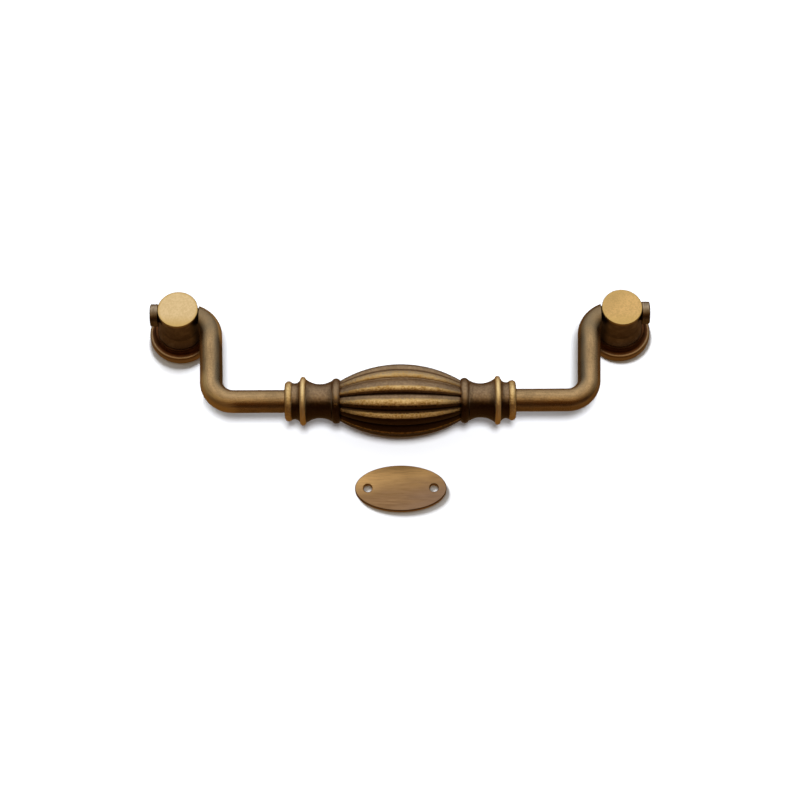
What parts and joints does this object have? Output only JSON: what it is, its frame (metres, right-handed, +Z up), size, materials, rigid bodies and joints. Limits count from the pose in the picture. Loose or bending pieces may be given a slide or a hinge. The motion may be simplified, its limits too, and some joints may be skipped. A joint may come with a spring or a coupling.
{
  "type": "bail pull",
  "caption": "Swinging drawer pull in aged brass: a bent rod bail with a reeded drum grip, hung between turned posts on rosettes, with an oval strike plate.",
  "frame": {"origin": "on the drawer front, midway between the two mounting screw axes", "axes": "+X along the pull, +Y into the drawer front, +Z up, with the bail hanging straight down"},
  "size_m": [0.1466, 0.0227, 0.0665],
  "materials": {
    "post_brass": "aged dark brass, turned, with a rubbed head",
    "rosette_brass": "aged reddish brown brass, turned",
    "plate_brass": "aged brass sheet, brushed lengthwise",
    "rod_brass": "aged brass rod, satin",
    "cast_brass": "aged cast brass, grainy, rubbed bright on the crests"
  },
  "bodies": {
    "root": {"left_post": "post_brass", "right_post": "post_brass", "left_rosette": "rosette_brass", "right_rosette": "rosette_brass", "strike_plate": "plate_brass"},
    "bail": {"left_arm": "rod_brass", "right_arm": "rod_brass", "left_cap": "rod_brass", "right_cap": "rod_brass", "drum_grip": "cast_brass"}
  },
  "joints": [
    {"name": "bail_swing", "type": "hinge", "parent": "root", "child": "bail", "pos_m": [0, -0.0123, 0], "axis": [-1, 0, 0], "range_deg": [-1, 180]}
  ]
}
